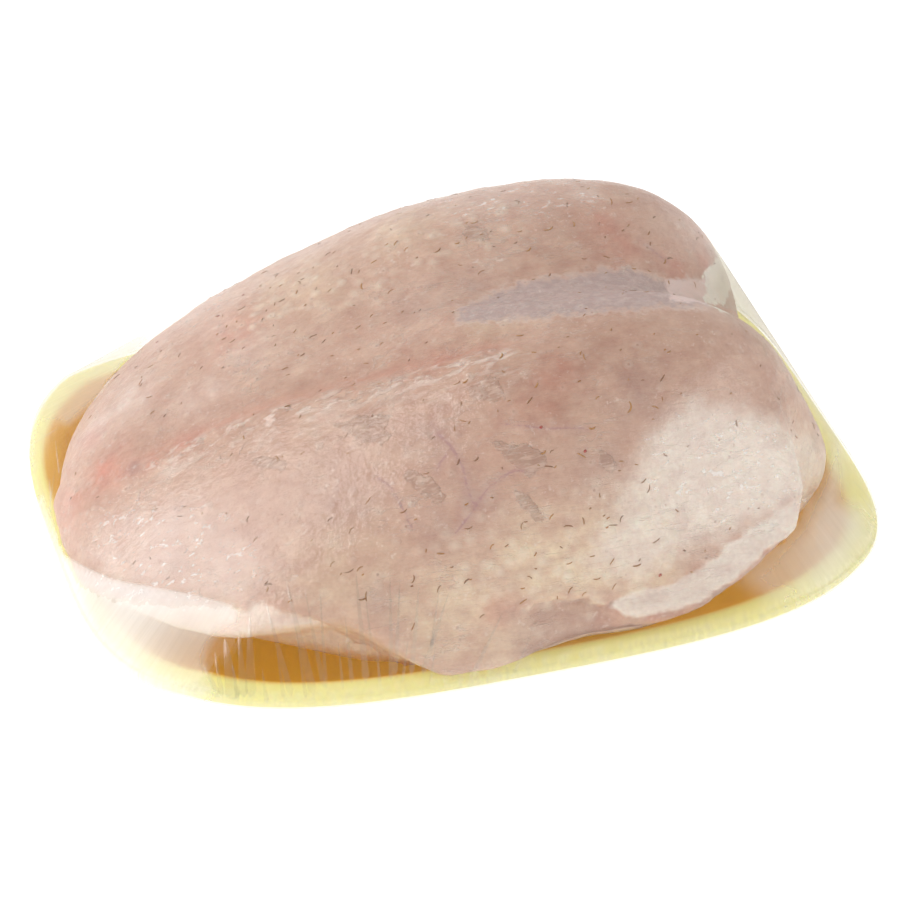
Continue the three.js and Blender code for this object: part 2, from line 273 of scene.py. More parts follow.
class Finish:
    """A material whose nodes are made, set and joined in one line each."""

    def __init__(self, name):
        self.material = bpy.data.materials.new(name)
        self.material.use_nodes = True
        self.tree = self.material.node_tree
        self.tree.nodes.clear()
        self.output = self.add("OutputMaterial")
        self.spot = self.add("TexCoord").outputs["Object"]
        self.so_far = None  # the colour that lay() builds up

    def add(self, kind, settings=None, **inputs):
        """A node; its inputs go by name, or by number after an underscore."""
        node = self.tree.nodes.new("ShaderNode" + kind)
        for key, value in (settings or {}).items():
            setattr(node, key, value)
        for key, value in inputs.items():
            socket = node.inputs[int(key[1:]) if key[1:].isdigit() else key.replace("_", " ")]
            if isinstance(value, bpy.types.NodeSocket):
                self.tree.links.new(value, socket)
            else:
                socket.default_value = (*value, 1) if socket.type == "RGBA" else value
        return node

    def shader(self, kind, **inputs):
        return self.add("Bsdf" + kind, **inputs).outputs[0]

    def value(self, name):
        """A painted number."""
        return self.painted(name, "Fac")

    def painted(self, name, form):
        """What was painted on the mesh, as a Fac, a Color or a Vector."""
        return self.add("Attribute", {"attribute_name": name}).outputs[form]

    def stretched(self, factors):
        """Object coordinates, stretched along the axes."""
        return self.add("VectorMath", {"operation": "MULTIPLY"}, _0=self.spot, _1=factors).outputs[0]

    def noise(self, scale, detail=4, roughness=0.55, vector=None):
        where = vector or self.spot
        return self.add("TexNoise", Vector=where, Scale=scale, Detail=detail, Roughness=roughness).outputs["Fac"]

    def math(self, operation, first, second=0.0):
        return self.add("Math", {"operation": operation}, _0=first, _1=second).outputs[0]

    def times(self, first, second):
        return self.math("MULTIPLY", first, second)

    def plus(self, first, second):
        return self.math("ADD", first, second)

    def span(self, value, low, high, new_low=0.0, new_high=1.0):
        """Carries a value's range over to a new one."""
        return self.add("MapRange", _0=value, _1=low, _2=high, _3=new_low, _4=new_high).outputs[0]

    def mix(self, share, first, second, blend="MIX"):
        """Two colours mixed."""
        settings = {"data_type": "RGBA", "blend_type": blend}
        return self.add("Mix", settings, _0=share, _6=first, _7=second).outputs[2]

    def lay(self, share, tone, most=1.0):
        """Lays a tone over the colour made so far."""
        self.so_far = self.mix(self.times(share, most), self.so_far, tone)

    def join(self, share, first, second):
        """Two shaders mixed."""
        return self.add("MixShader", _0=share, _1=first, _2=second).outputs[0]

    def bump(self, height, distance, strength=1.0, normal=None):
        node = self.add("Bump", Height=height, Distance=distance, Strength=strength)
        if normal:
            self.tree.links.new(normal, node.inputs["Normal"])
        return node.outputs[0]

    def close(self, shader):
        self.tree.links.new(shader, self.output.inputs["Surface"])
        return self.material


# %% [markdown]
# ## Foam tray
# The tray is pressed from a sheet of foam, so its wall has one thickness and its lip rolls over
# softly. A tray like this could be a box with beveled edges, but its plan is a squared oval that
# no box gives. So its section is spun round the upright axis first, and each ring is then pushed
# out to the squared oval. Rounding the section before the spin softens every edge at once.

# %% Foam tray
HALF_LENGTH = 0.1167
HALF_WIDTH = 0.092
SQUARENESS = 3.75
BARE_PATCH = 0.068  # how far in from the lip the film ends under the base
NEAR_LIFT = 0.003  # how much higher the lip is at the near corners
FAR_LIFT = 0.005
BASE_INSET = 0.025
LIP_WIDTH = 0.008
LIP_TOP = 0.0182
TRAY_TURNS = 288
# where the painted amber shade of the hollow reaches nearer the lip's edge
NARROW_LIP = (math.radians(162), math.radians(22))  # where the lip's pale part is narrow: middle and spread
# the section as inset from the lip's edge and height, in millimetres, from under the base round the lip
SECTION = [
    (92, 0.8), (33, 0.8), (25, 0.8), (21.5, 2.4), (11.7, 10.8), (9.2, 14), (3.2, 15), (0.6, 15.3), (0, 16.1),
    (0, 17.2), (0.8, 18), (4, 18.2), (8, 17.6), (10.4, 15.6), (19, 8.7), (26, 5.3), (32, 4.5), (92, 4.5),
]


def rim(angle, inset):
    """How far from the middle a squared oval lies, set in from the lip's edge."""
    short = np.maximum(HALF_WIDTH - inset, 1e-9)
    long = short + (HALF_LENGTH - HALF_WIDTH) * np.minimum(1, short / (HALF_WIDTH - BARE_PATCH))
    across = np.abs(np.cos(angle) / long) ** SQUARENESS
    along = np.abs(np.sin(angle) / short) ** SQUARENESS
    return (across + along) ** (-1 / SQUARENESS)


def corner_lift(angle, inset):
    """How much the lip rises in this direction."""
    long = HALF_LENGTH * np.abs(np.sin(angle))
    short = HALF_WIDTH * np.abs(np.cos(angle))
    corner = 2 * np.minimum(long, short) / (long + short)
    lift = NEAR_LIFT + (FAR_LIFT - NEAR_LIFT) * ease(-0.3, 0.3, np.sin(angle))
    return lift * corner**3 * ease(BASE_INSET, LIP_WIDTH, inset)


def soften(chain, rounds):
    """Cuts the corners of a chain of points, which rounds it."""
    for _ in range(rounds):
        cut = [chain[0]]
        for start, end in zip(chain, chain[1:]):
            cut.append(tuple(0.75 * s + 0.25 * e for s, e in zip(start, end)))
            cut.append(tuple(0.25 * s + 0.75 * e for s, e in zip(start, end)))
        chain = cut + [chain[-1]]
    return chain


def turned(chain, turns):
    """Spins a chain of (radius, height) points round the upright axis."""
    bm = bmesh.new()
    line = [bm.verts.new((radius, 0, height)) for radius, height in chain]
    edges = [bm.edges.new(pair) for pair in zip(line, line[1:])]
    spun = line + edges
    bmesh.ops.spin(bm, geom=spun, cent=(0, 0, 0), axis=(0, 0, 1), angle=2 * math.pi, steps=turns, use_merge=True)
    bmesh.ops.remove_doubles(bm, verts=bm.verts, dist=1e-6)
    return bm


def squared(mesh):
    """Pushes spun rings out to the squared oval, lifts the corners, and returns each vertex's angle and inset."""
    spots = places(mesh)
    radius = np.hypot(spots[:, 0], spots[:, 1])
    angle = np.arctan2(spots[:, 1], spots[:, 0])
    inset = HALF_WIDTH - radius
    reach = np.where(radius < 1e-6, 0, rim(angle, inset))
    spots[:, 0], spots[:, 1] = reach * np.cos(angle), reach * np.sin(angle)
    spots[:, 2] += corner_lift(angle, inset)
    move(mesh, spots)
    return angle, inset


section = soften([(HALF_WIDTH - inset * MM, height * MM) for inset, height in SECTION], 2)
tray_mesh = turned(section, TRAY_TURNS)
bmesh.ops.recalc_face_normals(tray_mesh, faces=tray_mesh.faces)
tray = piece_from(tray_mesh, "foam_tray")
angle, inset = squared(tray.data)
# inside marks the inner walls and floor, which the finish paints a darker amber as painted shade
upper = ease(-0.3, 0.1, outwards(tray.data)[:, 2])
lip_share = LIP_WIDTH * (1 - 0.5 * bell(angle, *NARROW_LIP))
paint(tray.data, inside=upper * ease(0.7, 1.2, inset / lip_share))
print("tray:", len(tray.data.polygons), "faces")

# %% [markdown]
# ## Foam finish
# Foamed plastic is a skin over thousands of tiny cells: matt, faintly pebbled, and a little
# translucent, so its deep corners turn amber where light bounces from yellow to yellow. A strong
# plain yellow would look like paint. Two grain sizes in the bump and a slow change of tone do
# the foam. The amber of the hollow is painted shade: the inner walls and floor get a darker,
# deeper tone, and light scattering under the surface adds the glow.

# %% Foam finish
foam = Finish("yellow_foam")
cells = foam.add("TexVoronoi", {"feature": "F1"}, Vector=foam.spot, Scale=1400.0)
pebbles = foam.times(cells.outputs["Distance"], 0.5)
waves = foam.noise(90.0, 3)
lip_tone = foam.mix(foam.span(waves, 0.35, 0.65), (0.95, 0.92, 0.46), (0.95, 0.94, 0.53))
# painted shade: the inner walls and floor get a darker, deeper amber than the lip
shaded_hollow_tone = foam.mix(foam.span(waves, 0.35, 0.65), (0.70, 0.37, 0.02), (0.77, 0.43, 0.035))
tone = foam.mix(foam.value("inside"), lip_tone, shaded_hollow_tone)
foam_shape = foam.bump(foam.noise(260.0, 5), 0.0006, 0.35)
foam_shape = foam.bump(pebbles, 0.0002, 0.5, foam_shape)
foam_shader = foam.shader(
    "Principled", Base_Color=tone, Roughness=0.55, Normal=foam_shape,
    Subsurface_Weight=0.4, Subsurface_Radius=(1.0, 0.7, 0.22), Subsurface_Scale=0.004,
)
# the translucent part carries the same painted shade in the hollow
glow_and_shade_tone = foam.mix(foam.value("inside"), (0.97, 0.94, 0.55), (0.80, 0.46, 0.03))
foam_whole = foam.join(0.5, foam_shader, foam.shader("Translucent", Color=glow_and_shade_tone))
tray.data.materials.append(foam.close(foam_whole))
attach(tray, "root")
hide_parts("tray")

# %% [markdown]
# ## The breast's body
# Meat under skin has no straight line anywhere. A ball with very many faces is laid over the
# solid like shrink wrap: each vertex slides out along its own ray until it meets the solid, and
# smoothing then removes the solid's facets. This keeps every size and gives an even mesh that
# small folds can be pressed into.

# %% The breast's body
def tree_of(node):
    """A search tree of a solid's merged surface."""
    bm = bmesh.new()
    bm.from_mesh(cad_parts[node].data)
    bmesh.ops.remove_doubles(bm, verts=bm.verts, dist=1e-6)
    tree = BVHTree.FromBMesh(bm)
    bm.free()
    return tree


def smooth_out(bm, rounds):
    """Moves every vertex half way to the middle of its neighbours."""
    for _ in range(rounds):
        bmesh.ops.smooth_vert(bm, verts=bm.verts, factor=0.5, use_axis_x=True, use_axis_y=True, use_axis_z=True)


BALL_STRETCH = np.array([1.3, 1.0, 0.8])
SMOOTH_ROUNDS = 7

meat_solid = tree_of("breast")
bm = bmesh.new()
bmesh.ops.create_icosphere(bm, subdivisions=7, radius=1)
for vertex in bm.verts:
    way = Vector(BALL_STRETCH * np.array(vertex.co)).normalized()
    vertex.co = meat_solid.ray_cast(Vector(CORE), way)[0]
smooth_out(bm, SMOOTH_ROUNDS)

# %% [markdown]
# ## Meat that fills its wrap
# Taut film presses on soft meat, and the meat spreads until it lies flat against the film. Below
# a line round the near side the film leaves the meat and runs straight to the lip. So the tight
# cover of the ball is made first, and the vertices above that line slide out to it.

# %% Meat that fills its wrap
# the line where the film leaves the meat: compass angle round the middle, height and fade below it in millimetres
LEAVE_LINE = [
    (-180, 21, 4), (-169, 22, 4), (-162, 26, 6), (-153, 30, 9), (-140, 34, 12), (-125, 41, 14), (-115, 29, 8),
    (-108, 20.5, 3), (-98, 20, 2.5), (-87, 20.5, 3), (-81, 22, 5), (-72, 21, 5), (-62, 23.5, 6), (-54, 28, 6),
    (-42, 35, 6), (-36, 45, 10), (-31, 62, 15), (-26, 90, 15), (160, 90, 20), (172, 24, 6), (180, 21, 4),
]
FILM_LIFT = 0.0003  # clearance over the skin
RIM_EDGE = (0.0004, LIP_TOP + 0.0004)  # inset and height where the film meets the lip's shoulder
RIM_POINTS = 360


def tight_cover(points):
    """A search tree of the tightest cover over some points and the lip."""
    shell = bmesh.new()
    for point in points:
        shell.verts.new(point)
    for angle in np.linspace(0, 2 * np.pi, RIM_POINTS, endpoint=False):
        reach = rim(angle, RIM_EDGE[0])
        height = RIM_EDGE[1] + corner_lift(angle, RIM_EDGE[0])
        shell.verts.new((reach * math.cos(angle), reach * math.sin(angle), height))
    bmesh.ops.convex_hull(shell, input=shell.verts)
    tree = BVHTree.FromBMesh(shell)
    shell.free()
    return tree


wrap = tight_cover([vertex.co.copy() for vertex in bm.verts])
line_angles, line_heights, line_fades = np.array(LEAVE_LINE).T
spread = 0
for vertex in bm.verts:
    x, y, z = vertex.co
    heading = math.degrees(math.atan2(y, x))
    leave = float(np.interp(heading, line_angles, line_heights)) * MM
    fade_out = float(np.interp(heading, line_angles, line_fades)) * MM
    weight = ease(leave - fade_out, leave, z) * ease(0.02, -0.03, y - 2 * max(0, -x - 0.085))
    if weight > 0.01:
        way = (vertex.co - Vector(CORE)).normalized()
        target = wrap.ray_cast(Vector(CORE), way)[0] - way * FILM_LIFT
        spread = max(spread, (target - vertex.co).length * weight)
        vertex.co = vertex.co.lerp(target, weight)
smooth_out(bm, 2)
print("the meat spreads by up to", round(spread * 1000, 1), "mm")
meat = BVHTree.FromBMesh(bm)


def seen_on(tree, u, v):
    """The place on a surface that shows at a place in the picture, or the nearest one beside it."""
    way = sight(u, v)
    found = tree.ray_cast(eye, way)[0]
    if found is None:
        found = tree.find_nearest(eye + way * (Vector(CORE) - eye).dot(way))[0]
    return found


def on_meat(u, v):
    """The place on the breast that shows at a place in the picture."""
    return np.array(seen_on(meat, u, v))


def tree_from(mesh):
    """A search tree of a piece's mesh."""
    return BVHTree.FromPolygons([Vector(p) for p in places(mesh)], [tuple(f.vertices) for f in mesh.polygons])


def trace(marks):
    """A line over the breast through places in the picture."""
    return [on_meat(u, v) for u, v in marks]


print("ball laid over the breast:", len(bm.faces), "faces")

# %% [markdown]
# ## Lines and zones on the skin
# The skin isn't one colour: it is rosy at the tail, cream where fat lies under it, violet over
# the keel and in the veins. Brown along the crease and over the top is painted shade, the pale
# zones also carry painted glare, and the lit right side gets a painted sheen. Each zone is a named
# list of places in the picture with a radius in millimetres, and a tint. Lines do the same for
# creases and veins.

# %% Lines and zones
# a raised crease runs along the keel from the tail
CREASE = [(128, 472), (160, 452), (205, 433), (250, 415), (300, 400), (350, 386), (430, 366), (500, 349), (545, 338)]
VEINS = [
    [(432, 424), (440, 436), (452, 447), (463, 468), (468, 490), (474, 506)],
    [(500, 478), (487, 490), (475, 507), (466, 520), (455, 534)],
    [(378, 478), (391, 487), (401, 505), (412, 528)],
    [(505, 424), (541, 428), (585, 428)],
    [(452, 447), (441, 462), (436, 473)],
    [(500, 478), (515, 470), (530, 472)],
    [(640, 240), (655, 252), (668, 262)],
]
# u, v, radius in millimetres and strength
ROSY = [
    (138, 466, 2.2, 1), (150, 459, 3.5, 0.9), (185, 440, 5, 0.5), (108, 472, 8, 0.75), (68, 505, 8, 0.5),
    (400, 360, 4, 0.4), (440, 358, 4, 0.5), (606, 222, 6, 0.5), (136, 466, 3.5, 0.9), (555, 375, 7, 0.3),
    (620, 245, 8, 0.4), (500, 613, 5, 0.5), (235, 330, 12, 0.35), (90, 440, 6, 0.3), (680, 270, 7, 0.5),
    (705, 262, 4, 0.6), (535, 405, 6, 0.25),
]
CREAM = [
    (590, 560, 15, 0.9), (540, 560, 13, 0.9), (800, 440, 9, 0.3), (480, 600, 14, 0.7), (430, 620, 12, 0.9),
    (500, 640, 10, 0.8), (350, 580, 14, 0.5), (300, 290, 16, 0.4), (400, 230, 12, 0.35), (495, 325, 7, 0.55),
    (640, 570, 12, 0.9), (560, 600, 10, 0.8),
]
# brownish tone that is mostly painted shade: along the crease and over the darker top of the breast
BROWN_SHADE = [
    (330, 470, 12, 0.3), (450, 420, 10, 0.15), (300, 392, 6, 0.35), (350, 378, 6, 0.5), (400, 362, 6, 0.5),
    (450, 352, 6, 0.5), (490, 345, 6, 0.5), (580, 228, 14, 0.55), (540, 250, 12, 0.5), (560, 380, 16, 0.75),
    (610, 350, 16, 0.75), (500, 380, 10, 0.4), (680, 350, 16, 0.2), (137, 466, 2.6, 0.9), (780, 400, 9, 0.5),
]
VIOLET = [
    (137, 466, 2.6, 0.9), (480, 290, 7, 0.4), (430, 300, 10, 0.3), (430, 440, 8, 0.3), (470, 500, 8, 0.35),
    (600, 470, 9, 0.3), (350, 500, 9, 0.3), (380, 600, 5, 0.4), (440, 525, 6, 0.3), (640, 400, 12, 0.25),
]
# pale skin and fat streaks, with painted glare on the left, near the far edge and as glints at the top edge
PALE_AND_GLARE = [
    (95, 430, 7, 0.8), (130, 400, 9, 0.7), (200, 400, 12, 0.4), (330, 412, 5, 0.4), (390, 392, 4, 0.4),
    (250, 350, 10, 0.4), (170, 470, 3, 0.6), (160, 540, 16, 0.45), (110, 560, 12, 0.45), (230, 560, 10, 0.3),
    (200, 300, 5, 0.5), (452, 196, 4, 0.5), (584, 192, 4, 0.5),
]
BRUISED_FLESH = [(722, 594, 4, 1), (705, 602, 3, 0.6)]
# where the feathers grew
NEAR_TRACT = [(600, 560, 20, 1), (540, 580, 18, 1), (480, 560, 14, 0.8), (660, 540, 16, 0.9), (720, 500, 12, 0.6)]
FAR_TRACT = [(300, 290, 16, 1), (360, 270, 16, 1), (420, 245, 16, 1), (480, 225, 14, 1), (260, 320, 12, 1)]
# outlines of patches with a clear edge, in the picture
# the lit right side of the near lobe: cream skin painted lighter as sheen
CREAM_SHEEN_SIDE = [
    (690, 400), (760, 418), (815, 440), (834, 470), (800, 503), (750, 520), (700, 545), (640, 575), (590, 560),
    (625, 500), (650, 440),
]
KEEL_BAND = [
    (450, 302), (480, 294), (505, 287), (540, 280), (560, 277), (580, 274), (600, 271), (625, 269), (645, 272),
    (665, 280), (708, 280), (708, 305), (690, 307), (660, 306), (620, 311), (590, 312), (560, 316), (530, 318),
    (500, 323), (470, 330), (450, 335),
]
KEEL_END = [(665, 280), (705, 280), (709, 303), (672, 302), (668, 292)]
NECK_FAT = [
    (703, 300), (706, 287), (702, 276), (711, 266), (718, 257), (716, 248), (722, 238), (735, 250), (742, 285),
    (735, 310), (722, 312),
]
THIN_SPOTS = [
    [
        (330, 422), (345, 424), (360, 415), (388, 416), (386, 430), (390, 436), (383, 446), (372, 440), (365, 444),
        (348, 434),
    ],
    [
        (402, 474), (409, 470), (416, 470), (424, 477), (430, 476), (444, 494), (441, 508), (433, 500), (424, 499),
        (412, 486),
    ],
    [
        (490, 443), (497, 440), (512, 446), (525, 443), (545, 453), (548, 465), (538, 470), (530, 478), (520, 468),
        (508, 460),
    ],
    [(515, 492), (528, 495), (538, 506), (543, 521), (536, 522), (530, 514), (520, 505)],
    [(461, 232), (474, 226), (488, 229), (486, 236), (490, 241), (474, 241), (466, 238)],
    [
        (468, 386), (478, 384), (484, 377), (498, 379), (500, 388), (505, 398), (496, 402), (486, 400), (476, 402),
        (470, 394),
    ],
    [(248, 462), (262, 456), (286, 462), (282, 470), (262, 470)],
    [(600, 450), (612, 455), (618, 466), (610, 474), (598, 466)],
]
# flesh that shows below the skin's cut edge, right and left of the flap, and the pale band along it
BARE_RIGHT = [
    (826, 486), (812, 494), (796, 502), (774, 516), (762, 521), (748, 533), (734, 542), (716, 560), (693, 576),
    (668, 588), (642, 591), (622, 600), (605, 605), (590, 601), (570, 599), (545, 602), (532, 608), (497, 612),
    (488, 630), (480, 650), (482, 668), (500, 720), (700, 680), (820, 620), (880, 540), (850, 480),
]
BARE_LEFT = [
    (150, 603), (200, 606), (240, 609), (252, 604), (263, 602), (289, 614), (303, 617), (317, 620), (338, 633),
    (355, 642), (374, 650), (393, 660), (405, 668), (419, 672), (400, 720), (250, 720), (120, 680), (80, 600),
]
PALE_BAND = [
    (826, 486), (796, 500), (774, 514), (748, 531), (734, 540), (716, 558), (693, 574), (668, 586), (642, 589),
    (622, 598), (612, 606), (624, 616), (640, 618), (660, 615), (680, 610), (700, 601), (720, 589), (739, 577),
    (757, 560), (771, 548), (787, 540), (800, 527), (811, 508),
]

TINTS = {
    "skin": (0.65, 0.425, 0.325),
    "rosy": (0.67, 0.30, 0.22),
    "cream": (0.81, 0.63, 0.45),
    "cream_and_sheen": (0.88, 0.76, 0.65),
    "brown_shade": (0.54, 0.33, 0.245),
    "violet": (0.51, 0.355, 0.31),
    "pale_and_glare": (0.79, 0.62, 0.535),
    "flesh": (0.86, 0.69, 0.58),
    "mauve": (0.58, 0.38, 0.30),
    "fat": (0.86, 0.75, 0.65),
}

# %% [markdown]
# ## Finer faces where the detail is
# A crease or a cut edge needs faces smaller than itself. Cutting the whole ball again would give
# four times the faces, so only the edges near such lines are cut.

# %% Finer faces
FINE_REACH = 0.0045
FINE_PIXELS = 14
PIXELS_A_MM = 3.4

lines = [trace(CREASE)] + [trace(vein) for vein in VEINS]
spots = np.array([vertex.co for vertex in bm.verts])
fine = np.zeros(len(spots), dtype=bool)
for line in lines:
    fine |= near_line(spots, line)[0] < FINE_REACH
near_side = spots[:, 1] < -0.03
for outline in (BARE_RIGHT, BARE_LEFT, PALE_BAND):
    fine |= near_side & (np.abs(inside_outline(spots, outline)) < FINE_PIXELS)
bm.verts.ensure_lookup_table()
chosen = [edge for edge in bm.edges if fine[edge.verts[0].index] and fine[edge.verts[1].index]]
bmesh.ops.subdivide_edges(bm, edges=chosen, cuts=1, use_grid_fill=True, smooth=0.5)
bmesh.ops.triangulate(bm, faces=bm.faces)
breast = piece_from(bm, "chicken_breast")
print("breast:", len(breast.data.polygons), "faces")

# %% [markdown]
# ## Folds, cut edge and follicles
# The skin stands about two millimetres above the flesh where it was cut, wrinkles into a ragged
# ridge beside the keel, and rises in rows of small bumps where the feathers grew. All of it is
# moved along the normals, so a silhouette shows it too, which a bump map can't do.

# %% Folds, cut edge and follicles
FLESH_STEP = 0.0012  # the solid has two millimetres of this step already
STEP_PIXELS = 2.0
RAGGED_PIXELS = 3.0

spots = places(breast.data)
normals = outwards(breast.data)
x, y, z = spots.T
lumps = grain(spots, 0.012, 3)
ragged = grain(spots, 0.004, 2)
push = 0.00035 * lumps + 0.00012 * ragged

on_near = ease(-0.02, -0.035, y)
flesh_depth = np.maximum(inside_outline(spots, BARE_RIGHT), inside_outline(spots, BARE_LEFT)) + RAGGED_PIXELS * ragged
band_depth = inside_outline(spots, PALE_BAND) + RAGGED_PIXELS * ragged
bare = on_near * ease(-STEP_PIXELS, STEP_PIXELS, flesh_depth)
band = on_near * ease(-STEP_PIXELS, STEP_PIXELS, band_depth)
beside_flap = ease(485, 545, in_picture(spots)[0])
bare *= np.where(x > -0.03, beside_flap, 1)
under_band = bare * (1 - band) * ease(-0.01, 0.01, x)
push -= FLESH_STEP * bare * (1 - 0.7 * band)
push -= 0.0022 * under_band * ease(-2, -14, band_depth)

distance, side, share = near_line(spots, trace(CREASE))
signed = distance * side
fades = ease(0, 0.12, share) * ease(1, 0.85, share)
fibres = grain(spots, 0.0022, 3, (3, 1, 1))
push -= fades * 0.0011 * bell(signed, 0.0035, 0.0045)
push += fades * (0.0004 + 0.0007 * fibres) * bell(signed, -0.002, 0.0028)
push += fades * 0.0004 * fibres * bell(signed, -0.008, 0.006)
print("crease found near", int((distance < 0.003).sum()), "vertices")

# %% [markdown]
# ## Tints and painted depths
# The zones are now laid over each other as tints, the softest first, each broken up by noise.
# What has a sharp edge is kept as a depth in millimetres instead, because the finish can draw an
# edge far finer than the faces.

# %% Tints and painted depths
FAR_OFF = 9.0  # millimetres beyond which a distance no longer matters
patchy = grain(spots, 0.006, 4)
seen = ease(-0.12, 0.18, normals @ np.array(back))
tint = np.tile(TINTS["skin"], (len(spots), 1))


def zone(marks):
    """How strongly each vertex lies in a zone of (u, v, radius, strength) marks, broken up by noise."""
    strength = np.zeros(len(spots))
    for u, v, radius, most in marks:
        gap = np.linalg.norm(spots - on_meat(u, v), axis=1) / (radius * MM)
        strength = np.maximum(strength, most * np.exp(-(gap**2)))
    return strength * (1 + 0.9 * patchy)


def depth_in(outlines):
    """How many millimetres each visible vertex lies inside the nearest of some outlines."""
    depth = np.full(len(spots), -FAR_OFF)
    for outline in outlines:
        depth = np.maximum(depth, inside_outline(spots, outline) / PIXELS_A_MM)
    return depth - FAR_OFF * (1 - seen)


def wash(name, strength):
    """Lays a tint over the skin."""
    share = np.clip(strength, 0, 1)[:, None]
    tint[:] = tint * (1 - share) + np.array(TINTS[name]) * share


wash("brown_shade", zone(BROWN_SHADE))
wash("cream", zone(CREAM))
# cream skin with a painted sheen on the lit right side
wash("cream_and_sheen", 0.9 * ease(-6, 5, depth_in([CREAM_SHEEN_SIDE]) + 2.5 * ragged))
wash("pale_and_glare", zone(PALE_AND_GLARE))
wash("rosy", zone(ROSY))
wash("violet", zone(VIOLET))
# painted shade in the crease: a brown and a reddish line on its valley side
wash("brown_shade", fades * 0.5 * bell(signed, 0.005, 0.006))
wash("rosy", fades * 0.35 * bell(signed, 0.002, 0.003))
wash("flesh", bare * ease(0, -0.03, x))
wash("mauve", bare * ease(-0.03, 0, x) * (0.8 + 0.5 * fibres))
wash("fat", band * 0.9)
wash("rosy", under_band * (0.25 + 0.4 * patchy) * ease(0.01, 0.03, x))
wash("violet", (1 - band) * zone(BRUISED_FLESH))

move(breast.data, spots + normals * push[:, None])
keep(breast.data, "tint", "FLOAT_COLOR", "color", np.column_stack([tint, np.ones(len(tint))]))
vein_gap = np.full(len(spots), FAR_OFF)
for vein in VEINS:
    gap, _, along = near_line(spots, trace(vein))
    vein_gap = np.minimum(vein_gap, gap / MM + 0.3 * (1 - bell(along, 0.5, 0.6)))
tract = np.maximum(zone(NEAR_TRACT), 0.8 * zone(FAR_TRACT))
paint(
    breast.data,
    skin=1 - bare,
    keel=depth_in([KEEL_BAND]) - 2.5 * ease(540, 450, in_picture(spots)[0]),
    keel_end=depth_in([KEEL_END]),
    neck_fat=depth_in([NECK_FAT]) - 4 * ease(0.062, 0.05, z),
    thin=depth_in(THIN_SPOTS),
    streaks=fades * (bell(signed, -0.003, 0.0035) + 0.5 * bell(signed, -0.010, 0.006)),
    vein=vein_gap,
    tract=tract,
)
meat = tree_from(breast.data)
print("tints and folds done")

# %% [markdown]
# ## Skin finish
# Raw skin is thin, wet and see-through: light enters, turns warm in the flesh and comes out
# again. Painted tints give the zones, and noise in several sizes breaks them into mottles, fat
# beads and pores. Scattering under the surface keeps it from looking like plaster.

# %% Skin finish
skin = Finish("raw_chicken_skin")
streak_spot = skin.stretched((0.22, 1.0, 1.0))


def edged(name, low, high, waver, scale):
    """A sharp ragged patch from a painted depth in millimetres."""
    frayed = skin.plus(skin.value(name), skin.span(skin.noise(scale, 4, 0.65), 0.25, 0.75, -waver, waver))
    return skin.span(frayed, low, high)


mottle = skin.span(skin.noise(150.0, 8, 0.68), 0.3, 0.7, 0.85, 1.10)
streaky = skin.span(skin.noise(330.0, 5, 0.65, streak_spot), 0.3, 0.7, 0.92, 1.07)
blotch = skin.span(skin.noise(38.0, 3), 0.35, 0.65, 0.93, 1.05)
fine_grain = skin.span(skin.noise(800.0, 4, 0.6), 0.3, 0.7, 0.93, 1.06)
shade = skin.times(skin.times(mottle, streaky), skin.times(blotch, fine_grain))
red_shade = skin.plus(0.35, skin.times(shade, 0.65))
shade_colour = skin.add("CombineColor", _0=red_shade, _1=shade, _2=shade).outputs[0]
skin.so_far = skin.mix(1.0, skin.painted("tint", "Color"), shade_colour, "MULTIPLY")

keel = edged("keel", -0.7, 0.9, 1.8, 300.0)
speckle = skin.span(skin.noise(420.0, 4, 0.7), 0.42, 0.68)
keel_tone = skin.mix(skin.times(speckle, 0.6), (0.49, 0.36, 0.34), (0.70, 0.57, 0.52))
skin.lay(keel, keel_tone, 0.85)
skin.lay(skin.math("SUBTRACT", edged("keel", -1.4, -0.4, 1.8, 300.0), keel), (0.80, 0.66, 0.58), 0.35)
skin.lay(edged("keel_end", -0.5, 0.5, 1.2, 300.0), (0.86, 0.66, 0.60), 0.9)
skin.lay(edged("neck_fat", -0.4, 0.5, 1.6, 260.0), (0.93, 0.86, 0.78))

thin = edged("thin", -0.2, 0.3, 1.1, 300.0)
hatch_spot = skin.add("Mapping", Vector=skin.spot, Rotation=(0.0, 0.0, math.radians(35)), Scale=(0.16, 1.0, 1.0),
).outputs[0]
hatch = skin.noise(900.0, 3, 0.6, hatch_spot)
thin_tone = skin.mix(skin.span(hatch, 0.48, 0.62), (0.43, 0.265, 0.20), (0.66, 0.49, 0.40))
skin.lay(thin, thin_tone, 0.6)

streaks = skin.times(skin.span(skin.noise(420.0, 4, 0.6, streak_spot), 0.50, 0.60), skin.value("streaks"))
skin.lay(streaks, (0.84, 0.69, 0.60), 0.65)

vein_edge = skin.plus(skin.value("vein"), skin.span(skin.noise(700.0, 3), 0.3, 0.7, -0.15, 0.2))
skin.lay(skin.span(vein_edge, 2.2, 0.2), (0.50, 0.30, 0.30), 0.2)
skin.lay(skin.span(vein_edge, 0.5, 0.25), (0.42, 0.22, 0.24), 0.45)

